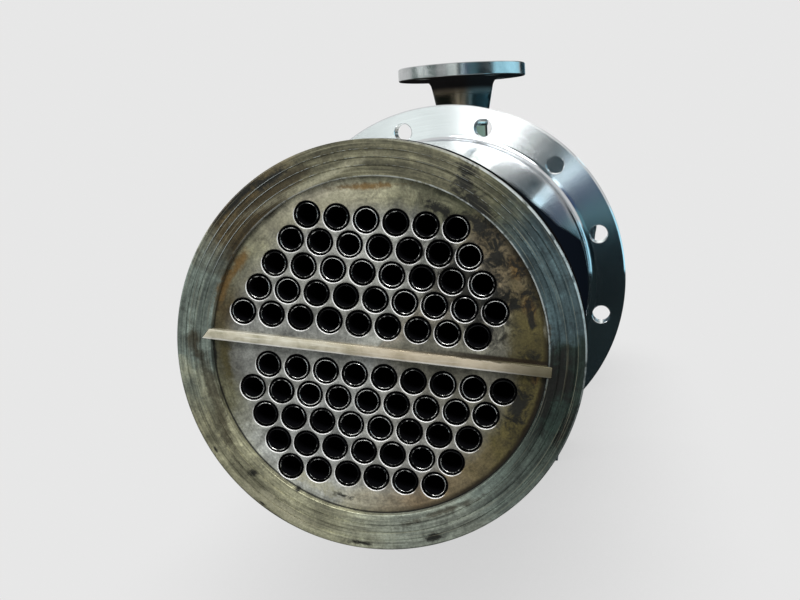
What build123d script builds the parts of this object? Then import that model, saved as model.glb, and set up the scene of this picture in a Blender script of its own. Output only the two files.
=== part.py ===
import os
from math import acos, cos, hypot, radians, sin, sqrt

from build123d import *

# Shell and tube heat exchanger with its front cover off, in millimetres.
# +X is to the right seen from the open front, +Y runs back along the shell and +Z is up.
# The origin is on the floor, below the middle of the whole length.
# Depths are measured backwards from the gasket face at the front.

# Tubes and their field
tube_diameter = 19.05
tube_wall = 0.9
tube_pitch = 23.81
half_rows = (6, 7, 8, 9, 9)
middle_row_shift = 0.5
field_turn = -7.75
field_offset_x = -4.5
field_offset_z = -2.0
tube_length = 1334.0
tube_clearance = 0.15

# Front tube plate, with its raised gasket ring and the bar between the passes
plate_thickness = 26.0
plate_overhang = 5.25
recess_margin = 2.6
recess_depth = 6.0
partition_let_in = 7.5
partition_thickness = 8.6
partition_clearance = 0.2

# Shell, its flange and the dished rear end
bundle_clearance = 20.3
shell_wall = 6.0
shell_fit = 0.1
flange_face_depth = 431.0
flange_bolt_inset = 18.25
flange_edge = 22.5
flange_thickness = 24.0
flange_chamfer = 1.5
flange_hole_diameter = 20.0
flange_hole_count = 12
plate_weld_size = 4.5
flange_weld_size = 8.0
rear_chamber_length = 70.0
head_straight = 25.0
head_crown_ratio = 0.9
head_knuckle_ratio = 0.17
rear_plate_thickness = 20.0
rear_plate_clearance = 0.3

# Nozzles
nozzle_bore = 52.7
nozzle_wall = 3.9
nozzle_neck_height = 20.7
hub_length = 58.0
hub_rise = 11.75
hub_fillet = 6.0
nozzle_flange_thickness = 16.0
nozzle_bolt_inset = 20.5
nozzle_edge = 20.0
nozzle_face_width = 24.65
nozzle_face_height = 2.0
nozzle_chamfer = 1.0
nozzle_hole_diameter = 18.0
nozzle_hole_count = 4
top_nozzle_setback = 175.0
bottom_nozzle_setback = 50.0

# Saddles
floor_gap = 24.0
saddle_wrap = 90.0
saddle_length = 110.0
front_saddle_setback = 242.0
rear_saddle_gap = 22.0
foot_width = 210.0
foot_thickness = 12.0
foot_bolt_edge = 20.0
foot_hole_diameter = 14.0
wear_plate_thickness = 6.0
wear_plate_clearance = 0.1
web_thickness = 10.0
rib_thickness = 8.0
rib_inset = 25.0


def tube_centres():
    """Centres of the tubes in each row, from the top row to the bottom one."""
    turn = radians(field_turn)
    row_height = tube_pitch * sqrt(3) / 2
    halves = {1: [], -1: []}
    for half, rows in halves.items():
        for index, count in enumerate(half_rows):
            height = half * (len(half_rows) - index) * row_height
            shift = -middle_row_shift if index == len(half_rows) - 1 else 0
            row = []
            for number in range(count):
                along = half * (number - (count - 1) / 2 + shift) * tube_pitch
                across = field_offset_x + along * cos(turn) - height * sin(turn)
                up = field_offset_z + along * sin(turn) + height * cos(turn)
                row.append((across, up))
            rows.append(row)
    return halves[1] + halves[-1][::-1]


# Sizes that follow from those above
field_reach = max(hypot(*centre) for row in tube_centres() for centre in row) + tube_diameter / 2
recess_radius = field_reach + recess_margin
partition_length = 2 * (recess_radius + partition_let_in)
shell_bore_radius = field_reach + bundle_clearance
shell_radius = shell_bore_radius + shell_wall
plate_radius = shell_radius + plate_overhang
flange_bolt_radius = shell_radius + flange_bolt_inset
flange_radius = flange_bolt_radius + flange_edge
front_shell_end = flange_face_depth + flange_thickness
rear_plate_depth = recess_depth + tube_length
main_shell_end = rear_plate_depth + rear_plate_thickness + rear_chamber_length
head_crown_radius = 2 * shell_radius * head_crown_ratio
head_knuckle_radius = 2 * shell_radius * head_knuckle_ratio
knuckle_centre = shell_radius - head_knuckle_radius
crown_centre = -sqrt((head_crown_radius - head_knuckle_radius) ** 2 - knuckle_centre**2)
overall_length = main_shell_end + head_straight + head_crown_radius + crown_centre
front_y = -overall_length / 2
neck_radius = nozzle_bore / 2 + nozzle_wall
neck_top = shell_radius + nozzle_neck_height
hub_top = neck_top + hub_length
hub_radius = neck_radius + hub_rise
nozzle_flange_top = hub_top + nozzle_flange_thickness
nozzle_reach = nozzle_flange_top + nozzle_face_height
nozzle_bolt_radius = hub_radius + nozzle_bolt_inset
nozzle_flange_radius = nozzle_bolt_radius + nozzle_edge
top_nozzle_depth = front_shell_end + top_nozzle_setback
bottom_nozzle_depth = rear_plate_depth - bottom_nozzle_setback
axis_height = nozzle_reach + floor_gap
front_saddle_depth = front_shell_end + front_saddle_setback
rear_saddle_depth = bottom_nozzle_depth - nozzle_flange_radius - rear_saddle_gap - saddle_length / 2
foot_bolt_spacing_x = foot_width - 2 * foot_bolt_edge
foot_bolt_spacing_y = saddle_length - 2 * foot_bolt_edge
rib_spacing = foot_bolt_spacing_x - 2 * rib_inset


def plate_from(section, depth, thickness):
    """Extrude a cross-section, drawn about the shell's axis as seen from the front, from a depth backwards."""
    back = Plane(
        origin=(0, front_y + depth + thickness, axis_height),
        x_dir=(1, 0, 0),
        z_dir=(0, -1, 0),
    )
    return extrude(back * section, thickness)


def turned_about_shell(points):
    """Revolve a closed outline of radius and depth about the shell's axis."""
    section = make_face(Polyline(*points, close=True))
    return Pos(0, front_y, axis_height) * revolve(section, Axis.Y)


def round_edges(piece, radius):
    """The round edges of a piece that have the given radius, from the front backwards."""
    circles = piece.edges().filter_by(GeomType.CIRCLE)
    return circles.filter_by(lambda edge: abs(edge.radius - radius) < shell_fit / 2).sort_by(Axis.Y)


def hole_circle(circle_radius, hole_diameter, count):
    """Round holes on a bolt circle, none of them on the upright centre line."""
    places = PolarLocations(circle_radius, count, start_angle=90 + 180 / count)
    return Sketch() + places * Circle(hole_diameter / 2)


def field_bar(length, thickness):
    """A bar section through the middle of the tube field, in line with its rows."""
    return Pos(field_offset_x, field_offset_z) * Rot(Z=field_turn) * Rectangle(length, thickness)


def make_tube_plate():
    """Drilled disc with a raised gasket ring that is slotted for the partition bar."""
    drilled = Circle(plate_radius)
    hole_radius = tube_diameter / 2 + tube_clearance
    drilled -= [Pos(*centre) * Circle(hole_radius) for row in tube_centres() for centre in row]
    ring = Circle(plate_radius) - Circle(recess_radius)
    slack = 2 * partition_clearance
    ring -= field_bar(partition_length + slack, partition_thickness + slack)
    body = plate_from(drilled, recess_depth, plate_thickness - recess_depth)
    return body + plate_from(ring, 0, recess_depth)


def make_partition():
    """Bar between the passes, let into the gasket ring and flush with it."""
    return plate_from(field_bar(partition_length, partition_thickness), 0, recess_depth)


def make_tube_row(centres):
    """One row of hollow tubes, from the floor of the recess to the rear plate."""
    tube = Circle(tube_diameter / 2) - Circle(tube_diameter / 2 - tube_wall)
    row = Sketch() + [Pos(*centre) * tube for centre in centres]
    return plate_from(row, recess_depth, tube_length)


def make_shell_ring(start, end):
    """A plain length of shell between two depths."""
    return plate_from(Circle(shell_radius) - Circle(shell_bore_radius), start, end - start)


def place_nozzle(piece, depth, up):
    """Stand a nozzle piece on the shell at a depth, or hang it below."""
    if not up:
        piece = piece.rotate(Axis.X, 180)
    return Pos(0, front_y + depth, axis_height) * piece


def make_main_shell():
    """The rear length of shell, cut for the two nozzles."""
    shell = make_shell_ring(front_shell_end, main_shell_end)
    cutter = extrude(Circle(neck_radius + shell_fit), neck_top)
    shell -= place_nozzle(cutter, top_nozzle_depth, True)
    return shell - place_nozzle(cutter, bottom_nozzle_depth, False)


def make_shell_flange():
    """Ring flange round the shell, with its bolt holes and a welding bevel at the front of its bore."""
    bore_radius = shell_radius + shell_fit
    section = Circle(flange_radius) - Circle(bore_radius)
    section -= hole_circle(flange_bolt_radius, flange_hole_diameter, flange_hole_count)
    flange = plate_from(section, flange_face_depth, flange_thickness)
    flange = chamfer(round_edges(flange, flange_radius), flange_chamfer)
    return chamfer(round_edges(flange, bore_radius)[0], flange_weld_size)


def make_plate_weld():
    """Weld round the shell, in the corner behind the tube plate."""
    size = plate_weld_size
    corner = (shell_radius + shell_fit, plate_thickness)
    return turned_about_shell([corner, (corner[0] + size, corner[1]), (corner[0], corner[1] + size)])


def make_flange_weld():
    """Weld that fills the bevel of the flange's bore and slopes down to the shell in front of it."""
    foot = shell_radius + shell_fit
    front = flange_face_depth - flange_weld_size
    root = flange_face_depth + flange_weld_size
    return turned_about_shell([(foot, front), (foot + flange_weld_size, flange_face_depth), (foot, root)])


def head_outline(wall_inset):
    """Straight skirt, knuckle and crown of the dished end, from the weld to the middle."""
    knuckle = head_knuckle_radius - wall_inset
    crown = head_crown_radius - wall_inset
    turn = acos(knuckle_centre / (head_crown_radius - head_knuckle_radius))
    middle = turn / 2
    crown_middle = (radians(90) + turn) / 2
    skirt_end = (knuckle_centre + knuckle, 0)
    tangent = (crown * cos(turn), crown_centre + crown * sin(turn))
    knuckle_mid = (knuckle_centre + knuckle * cos(middle), knuckle * sin(middle))
    crown_mid = (crown * cos(crown_middle), crown_centre + crown * sin(crown_middle))
    return [
        Line((knuckle_centre + knuckle, -head_straight), skirt_end),
        ThreePointArc(skirt_end, knuckle_mid, tangent),
        ThreePointArc(tangent, crown_mid, (0, crown_centre + crown)),
    ]


def make_rear_head():
    """Hollow dished end welded to the shell."""
    outer = head_outline(0)
    inner = head_outline(shell_wall)
    rim = Line(outer[0] @ 0, inner[0] @ 0)
    nose = Line(outer[2] @ 1, inner[2] @ 1)
    section = make_face(Curve() + outer + inner + [rim, nose])
    return Pos(0, front_y + main_shell_end + head_straight, axis_height) * revolve(section, Axis.Y)


def make_rear_plate():
    """Plate inside the shell that the far ends of the tubes meet."""
    disc = Circle(shell_bore_radius - rear_plate_clearance)
    return plate_from(disc, rear_plate_depth, rear_plate_thickness)


def make_nozzle_neck():
    """Pipe stub set into the shell and trimmed flush with its bore."""
    stub = extrude(Circle(neck_radius) - Circle(nozzle_bore / 2), neck_top)
    return stub - Rot(X=90) * Cylinder(shell_bore_radius, 4 * neck_radius)


def make_nozzle_flange():
    """Welding-neck flange with a raised face, a tapered hub and its bolt holes."""
    bore_radius = nozzle_bore / 2
    face_radius = bore_radius + nozzle_face_width
    hub_corner = (hub_radius, hub_top)
    outline = Polyline(
        (bore_radius, neck_top),
        (neck_radius, neck_top),
        hub_corner,
        (nozzle_flange_radius - nozzle_chamfer, hub_top),
        (nozzle_flange_radius, hub_top + nozzle_chamfer),
        (nozzle_flange_radius, nozzle_flange_top - nozzle_chamfer),
        (nozzle_flange_radius - nozzle_chamfer, nozzle_flange_top),
        (face_radius, nozzle_flange_top),
        (face_radius, nozzle_reach),
        (bore_radius, nozzle_reach),
        close=True,
    )
    section = make_face(outline)
    root = section.vertices().sort_by_distance((*hub_corner, 0))[0]
    section = fillet(root, hub_fillet)
    flange = revolve(Plane.XZ * section, Axis.Z)
    holes = hole_circle(nozzle_bolt_radius, nozzle_hole_diameter, nozzle_hole_count)
    return flange - extrude(Pos(0, 0, hub_top) * holes, nozzle_flange_thickness)


def make_wear_plate_section():
    """Cross-section of the curved plate between the shell and a saddle."""
    inner = shell_radius + wear_plate_clearance
    ring = Circle(inner + wear_plate_thickness) - Circle(inner)
    reach = 2 * shell_radius
    side = reach * sin(radians(saddle_wrap / 2))
    drop = -reach * cos(radians(saddle_wrap / 2))
    return ring & make_face(Polyline((0, 0), (side, drop), (-side, drop), close=True))


def make_saddle(name, depth):
    """The wear plate, web, ribs and foot of one saddle."""
    seat = shell_radius + 2 * wear_plate_clearance + wear_plate_thickness
    floor = -axis_height
    foot_top = floor + foot_thickness
    half_foot = foot_width / 2
    corner = seat * sin(radians(saddle_wrap / 2))
    drop = -seat * cos(radians(saddle_wrap / 2))
    web_corners = [(-half_foot, foot_top), (half_foot, foot_top), (corner, drop), (-corner, drop)]
    web = make_face(Polyline(*web_corners, close=True)) - Circle(seat)
    rib_height = axis_height - foot_thickness - sqrt(seat**2 - (rib_spacing / 2) ** 2) + rib_thickness
    rib = Rectangle(rib_thickness, rib_height, align=(Align.CENTER, Align.MIN))
    ribs = Sketch() + [Pos(side * rib_spacing / 2, foot_top) * rib for side in (-1, 1)]
    ribs -= Circle(seat)
    rib_length = (saddle_length - web_thickness) / 2
    start = depth - saddle_length / 2
    foot = Pos(0, floor + foot_thickness / 2) * Rectangle(foot_width, foot_thickness)
    anchors = GridLocations(foot_bolt_spacing_x, foot_bolt_spacing_y, 2, 2) * Circle(foot_hole_diameter / 2)
    anchor_holes = extrude(Pos(0, front_y + depth, 0) * (Sketch() + anchors), foot_thickness)
    front_ribs = plate_from(ribs, start, rib_length)
    back_ribs = plate_from(ribs, start + rib_length + web_thickness, rib_length)
    return {
        name + "_wear_plate": plate_from(make_wear_plate_section(), start, saddle_length),
        name + "_web": plate_from(web, depth - web_thickness / 2, web_thickness),
        name + "_ribs": front_ribs + back_ribs,
        name + "_foot": plate_from(foot, start, saddle_length) - anchor_holes,
    }


def make_parts():
    """Every piece of the exchanger by its name."""
    parts = {
        "tube_plate": make_tube_plate(),
        "pass_partition": make_partition(),
        "front_shell": make_shell_ring(plate_thickness, front_shell_end),
        "plate_weld": make_plate_weld(),
        "flange_weld": make_flange_weld(),
        "shell_flange": make_shell_flange(),
        "main_shell": make_main_shell(),
        "rear_tube_plate": make_rear_plate(),
        "rear_head": make_rear_head(),
    }
    for number, centres in enumerate(tube_centres(), 1):
        parts[f"tube_row_{number}"] = make_tube_row(centres)
    for side, depth, up in (("top", top_nozzle_depth, True), ("bottom", bottom_nozzle_depth, False)):
        parts[side + "_nozzle_neck"] = place_nozzle(make_nozzle_neck(), depth, up)
        parts[side + "_nozzle_flange"] = place_nozzle(make_nozzle_flange(), depth, up)
    parts.update(make_saddle("front_saddle", front_saddle_depth))
    parts.update(make_saddle("rear_saddle", rear_saddle_depth))
    return parts


os.makedirs("parts", exist_ok=True)
for name, shape in make_parts().items():
    export_step(Compound(children=shape.solids()), os.path.join("parts", name + ".step"))
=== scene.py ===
import random
from math import acos, atan2, cos, degrees, hypot, pi, radians, sin, sqrt, tan

import bmesh
import bpy
from mathutils import Matrix, Vector
from mathutils.geometry import delaunay_2d_cdt


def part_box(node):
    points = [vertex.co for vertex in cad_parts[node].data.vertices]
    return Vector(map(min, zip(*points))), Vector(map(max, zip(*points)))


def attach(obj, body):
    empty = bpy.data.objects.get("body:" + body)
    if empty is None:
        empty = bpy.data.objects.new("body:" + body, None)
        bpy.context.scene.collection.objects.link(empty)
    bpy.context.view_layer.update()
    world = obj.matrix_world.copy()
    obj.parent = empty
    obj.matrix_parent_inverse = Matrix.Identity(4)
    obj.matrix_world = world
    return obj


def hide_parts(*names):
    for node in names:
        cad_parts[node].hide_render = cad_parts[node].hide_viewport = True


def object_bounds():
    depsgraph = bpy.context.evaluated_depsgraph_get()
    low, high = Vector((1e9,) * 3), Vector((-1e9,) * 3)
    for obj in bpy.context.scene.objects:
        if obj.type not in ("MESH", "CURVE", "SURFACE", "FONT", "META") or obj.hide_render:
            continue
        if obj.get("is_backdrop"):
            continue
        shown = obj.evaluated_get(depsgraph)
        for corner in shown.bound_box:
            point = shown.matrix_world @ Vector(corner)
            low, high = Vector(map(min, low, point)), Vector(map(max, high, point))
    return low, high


# Looks of a shell and tube heat exchanger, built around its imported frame.
# Lengths are in millimetres and become metres in each mesh; shaders and lights work in metres.
# A depth is measured backwards from the gasket face, along the shell's axis.
# A clock angle runs anticlockwise from +X as seen from the front, in degrees.

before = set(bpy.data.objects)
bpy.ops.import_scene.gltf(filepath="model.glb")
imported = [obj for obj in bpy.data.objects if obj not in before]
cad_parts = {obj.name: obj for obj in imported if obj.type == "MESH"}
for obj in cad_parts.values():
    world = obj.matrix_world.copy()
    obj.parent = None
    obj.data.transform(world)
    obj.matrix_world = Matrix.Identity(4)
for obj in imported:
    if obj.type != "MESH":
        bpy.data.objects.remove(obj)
cad_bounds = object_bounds()
random.seed(7)

MM = 0.001
BODY = "root"


def node_box(name):
    """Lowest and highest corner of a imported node, in millimetres."""
    low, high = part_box(name)
    return low / MM, high / MM


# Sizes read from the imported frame
plate_low, plate_high = node_box("tube_plate")
front_y = plate_low.y
axis_z = (plate_low.z + plate_high.z) / 2
plate_radius = (plate_high.x - plate_low.x) / 2
plate_thickness = plate_high.y - front_y
recess_depth = node_box("tube_row_1")[0].y - front_y
tube_end_depth = node_box("tube_row_1")[1].y - front_y
shell_radius = node_box("front_shell")[1].x
flange_low, flange_high = node_box("shell_flange")
flange_depth = flange_low.y - front_y
flange_back = flange_high.y - front_y
flange_radius = min(flange_high.x, -flange_low.x)
main_shell_end = node_box("main_shell")[1].y - front_y

# Sizes repeated from the part
TUBE_RADIUS = 19.05 / 2
TUBE_WALL = 0.9
TUBE_PITCH = 23.81
HALF_ROWS = (6, 7, 8, 9, 9)
MIDDLE_ROW_SHIFT = 0.5
FIELD_TURN = -7.75
FIELD_OFFSET = (-4.5, -2.0)
TUBE_CLEARANCE = 0.15
RECESS_MARGIN = 2.6
PARTITION_LET_IN = 7.5
PARTITION_THICKNESS = 8.6
PARTITION_CLEARANCE = 0.2
SHELL_WALL = 6.0
PLATE_WELD_SIZE = 4.5
HEAD_STRAIGHT = 25.0
HEAD_CROWN_RATIO = 0.9
HEAD_KNUCKLE_RATIO = 0.17
FLANGE_BOLT_INSET = 18.25
FLANGE_HOLE_RADIUS = 10.0
FLANGE_HOLE_COUNT = 12
FLANGE_CHAMFER = 1.5
FLANGE_WELD_SIZE = 8.0
NOZZLE_BORE_RADIUS = 52.7 / 2
NOZZLE_WALL = 3.9
NOZZLE_NECK_HEIGHT = 20.7
HUB_LENGTH = 58.0
HUB_RISE = 11.75
NOZZLE_FLANGE_THICKNESS = 16.0
NOZZLE_BOLT_INSET = 20.5
NOZZLE_EDGE = 20.0
NOZZLE_FACE_WIDTH = 24.65
NOZZLE_FACE_HEIGHT = 2.0
NOZZLE_CHAMFER = 1.0
NOZZLE_HOLE_RADIUS = 9.0
NOZZLE_HOLE_COUNT = 4
SADDLE_WRAP = 90.0
WEAR_PLATE_THICKNESS = 6.0
WEB_THICKNESS = 10.0
RIB_THICKNESS = 8.0
FOOT_HOLE_RADIUS = 7.0
FOOT_BOLT_EDGE = 20.0

# Sizes of the fine forms that only the looks have
GROOVE_RADII = (144.0, 150.3, 156.4)
GROOVE_HALF_WIDTH = 0.55
GROOVE_DEPTH = 0.7
PLATE_CHAMFER = 1.2
RING_INNER_ROUNDING = 0.7
SLOT_OVERLAP = 0.02
SLOT_INSIDE = 6.0
BAR_LOW_END_CUT = 4.0
BAR_HIGH_END_CUT = 10.0
BAR_ROUNDING = 0.6
MOUTH_RADIUS = 10.8
MOUTH_ROUNDING = 0.8
MOUTH_DEPTH = 3.5
MOUTH_SHIFT_LEFT = 0.3
MOUTH_SHIFT_RIGHT = 0.1
MOUTH_SHIFT_UP = 0.15
TUBE_SEAT = 0.3
TUBE_RIM_RADIUS = 0.30
TUBE_RIM_SWELL = 0.10
TUBE_RIM_LENGTH = 2.0
TUBE_SHOULDER = 3.0
TUBE_OUTER_STATION = 8.0
TUBE_INNER_STATIONS = (120.0, 12.0)
TUBE_MOUTH_BURR = 0.2
CUTTER_OVERREACH = 1.0
HOLE_CHAMFER = 0.6
HUB_FILLET = 12.0
FACE_CHAMFER = 0.3
BORE_CHAMFER = 0.8
BEAD_LAP = 0.5
PLATE_BEAD_LAP = 0.3
PLATE_BEAD_BULGE = 0.5
SEAM_WIDTH = 9.0
SEAM_HEIGHT = 1.1
HUB_SEAM_WIDTH = 8.0
HUB_SEAM_HEIGHT = 1.2
HUB_SEAM_SINK = 0.1
NECK_BEAD = 5.0
OPENING_START = 60.0
SHEET_ROUNDING = 0.8

# Ripples once round each weld bead, and their height
PLATE_BEAD_RIPPLES = (180, 0.12)
SEAM_RIPPLES = (160, 0.15)
HUB_SEAM_RIPPLES = (44, 0.12)
NECK_BEAD_RIPPLES = (40, 0.25)

# Fineness of the round meshes
SHELL_STEPS = 288
TUBE_STEPS = 48
NOZZLE_STEPS = 144
HOLE_STEPS = 40
HEAD_STEPS = 14
SEAT_STEPS = 60
BEAD_STEPS = 6
FLOOR_STEPS = 96


def tube_centres():
    """Centres of the tubes in each row about the shell's axis, from the top row to the bottom one."""
    turn = radians(FIELD_TURN)
    row_height = TUBE_PITCH * sqrt(3) / 2
    halves = {1: [], -1: []}
    for half, rows in halves.items():
        for index, count in enumerate(HALF_ROWS):
            height = half * (len(HALF_ROWS) - index) * row_height
            shift = -MIDDLE_ROW_SHIFT if index == len(HALF_ROWS) - 1 else 0
            row = []
            for number in range(count):
                along = half * (number - (count - 1) / 2 + shift) * TUBE_PITCH
                across = FIELD_OFFSET[0] + along * cos(turn) - height * sin(turn)
                up = FIELD_OFFSET[1] + along * sin(turn) + height * cos(turn)
                row.append((across, up))
            rows.append(row)
    return halves[1] + halves[-1][::-1]


# Sizes that follow from those above
tube_rows = tube_centres()
all_tubes = [centre for row in tube_rows for centre in row]
mouth_centres = {
    centre: (centre[0] + random.uniform(-MOUTH_SHIFT_LEFT, MOUTH_SHIFT_RIGHT),
             centre[1] + random.uniform(-MOUTH_SHIFT_UP, MOUTH_SHIFT_UP))
    for centre in all_tubes
}
recess_radius = max(hypot(*centre) for centre in all_tubes) + TUBE_RADIUS + RECESS_MARGIN
shell_bore_radius = shell_radius - SHELL_WALL
neck_radius = NOZZLE_BORE_RADIUS + NOZZLE_WALL
neck_top = shell_radius + NOZZLE_NECK_HEIGHT
hub_top = neck_top + HUB_LENGTH
hub_radius = neck_radius + HUB_RISE
nozzle_flange_top = hub_top + NOZZLE_FLANGE_THICKNESS
nozzle_reach = nozzle_flange_top + NOZZLE_FACE_HEIGHT
nozzle_bolt_radius = hub_radius + NOZZLE_BOLT_INSET
nozzle_flange_radius = nozzle_bolt_radius + NOZZLE_EDGE


# Mesh helpers

def at_axis(across, up, depth):
    """Point to the right of and above the shell's axis, at a depth."""
    return Vector((across, front_y + depth, axis_z + up))


def at_shell(radius, angle, depth):
    """Point at a radius and angle about the shell's axis, at a depth."""
    return at_axis(radius * cos(angle), radius * sin(angle), depth)


def at_tube(centre):
    """Placing function for points turned about one tube's axis."""
    def place(radius, angle, depth):
        return at_axis(centre[0] + radius * cos(angle), centre[1] + radius * sin(angle), depth)
    return place


def upright(x, depth, base=0.0, up=1):
    """Placing function about an upright axis; heights are from a base, upwards or downwards."""
    def place(radius, angle, height):
        return Vector((x + radius * cos(angle), front_y + depth + radius * sin(angle), base + up * height))
    return place


def rippled(place, ripples, height):
    """Placing function with the small even ripples of a weld bead."""
    def ripple(radius, angle, depth):
        return place(radius + height * sin(ripples * angle), angle, depth)
    return ripple


def arc(centre, radius, start, end, count):
    """Points of an arc from one angle to another, both in degrees."""
    angles = [radians(start + (end - start) * step / count) for step in range(count + 1)]
    return [(centre[0] + radius * cos(angle), centre[1] + radius * sin(angle)) for angle in angles]


def round_angles(steps):
    """Even angles once round."""
    return [2 * pi * step / steps for step in range(steps)]


def skinned(rings, closed=True):
    """Skin over rings of points, the last ring joined to the first; each ring may be closed too."""
    size = len(rings[0])
    faces = []
    for number in range(len(rings)):
        here = number * size
        there = (number + 1) % len(rings) * size
        for index in range(size if closed else size - 1):
            after = (index + 1) % size
            faces.append((here + index, here + after, there + after, there + index))
    return [point for ring in rings for point in ring], faces


def lathe(profile, steps, place, closed=True):
    """Turn an outline of (radius, height) points about an axis; place() gives each point's position."""
    rings = [[place(radius, angle, height) for radius, height in profile] for angle in round_angles(steps)]
    return skinned(rings, closed)


def extruded(outline, start, end):
    """Closed prism of an outline of (across, height above the floor) points between two depths."""
    size = len(outline)
    points = [Vector((x, front_y + depth, z)) for depth in (start, end) for x, z in outline]
    faces = [tuple(range(size)), tuple(range(2 * size - 1, size - 1, -1))]
    for index in range(size):
        after = (index + 1) % size
        faces.append((index, after, size + after, size + index))
    return points, faces


def along_bar(low_ends, high_ends, half_width, start, end):
    """Closed prism in line with the partition bar, from where its lower and upper sides end."""
    turn = radians(FIELD_TURN)
    sides = [(along, -half_width) for along in low_ends] + [(along, half_width) for along in high_ends[::-1]]
    outline = []
    for along, up in sides:
        across = FIELD_OFFSET[0] + along * cos(turn) - up * sin(turn)
        rise = FIELD_OFFSET[1] + along * sin(turn) + up * cos(turn)
        outline.append((across, axis_z + rise))
    return extruded(outline, start, end)


def joined(parts):
    """One list of points and faces from several."""
    points = []
    faces = []
    for part_points, part_faces in parts:
        base = len(points)
        points += part_points
        faces += [tuple(base + index for index in face) for face in part_faces]
    return points, faces


def tidy_mesh(mesh, sharp_angle=30):
    """Weld double points, point the faces outwards and shade the mesh smooth by angle."""
    work = bmesh.new()
    work.from_mesh(mesh)
    bmesh.ops.remove_doubles(work, verts=work.verts, dist=1e-6)
    bmesh.ops.recalc_face_normals(work, faces=work.faces)
    work.to_mesh(mesh)
    work.free()
    mesh.shade_smooth()
    mesh.set_sharp_from_angle(angle=radians(sharp_angle))


def make_object(name, data):
    """An object at the origin that holds a mesh, a lamp or a camera."""
    piece = bpy.data.objects.new(name, data)
    bpy.context.scene.collection.objects.link(piece)
    return piece


def make_piece(name, shape, sharp_angle=30):
    """Piece in metres from points and faces, smooth apart from edges sharper than the angle."""
    points, faces = shape
    mesh = bpy.data.meshes.new(name)
    mesh.from_pydata([Vector(point) * MM for point in points], [], faces)
    tidy_mesh(mesh, sharp_angle)
    return make_object(name, mesh)


def bake_modifiers(piece, sharp_angle=30):
    """Put the result of a piece's modifiers in its mesh."""
    graph = bpy.context.evaluated_depsgraph_get()
    mesh = bpy.data.meshes.new_from_object(piece.evaluated_get(graph))
    piece.modifiers.clear()
    piece.data = mesh
    tidy_mesh(mesh, sharp_angle)


def carve(piece, cutter_shape):
    """Cut a closed shape out of a piece."""
    cutter = make_piece("cutter", cutter_shape)
    cut = piece.modifiers.new("cut", "BOOLEAN")
    cut.operation = "DIFFERENCE"
    cut.solver = "EXACT"
    cut.object = cutter
    bake_modifiers(piece)
    bpy.data.objects.remove(cutter)


def round_edges(piece, width, segments=2):
    """Bevel the sharp edges of a piece by a width in millimetres."""
    bevel = piece.modifiers.new("bevel", "BEVEL")
    bevel.width = width * MM
    bevel.segments = segments
    bevel.limit_method = "ANGLE"
    bevel.angle_limit = radians(40)
    bake_modifiers(piece, 50)


def dress(piece, material, slot, *nodes):
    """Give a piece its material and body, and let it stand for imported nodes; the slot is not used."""
    piece.data.materials.clear()
    piece.data.materials.append(material)
    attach(piece, BODY)
    if nodes:
        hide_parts(*nodes)


# Shader helpers

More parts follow.
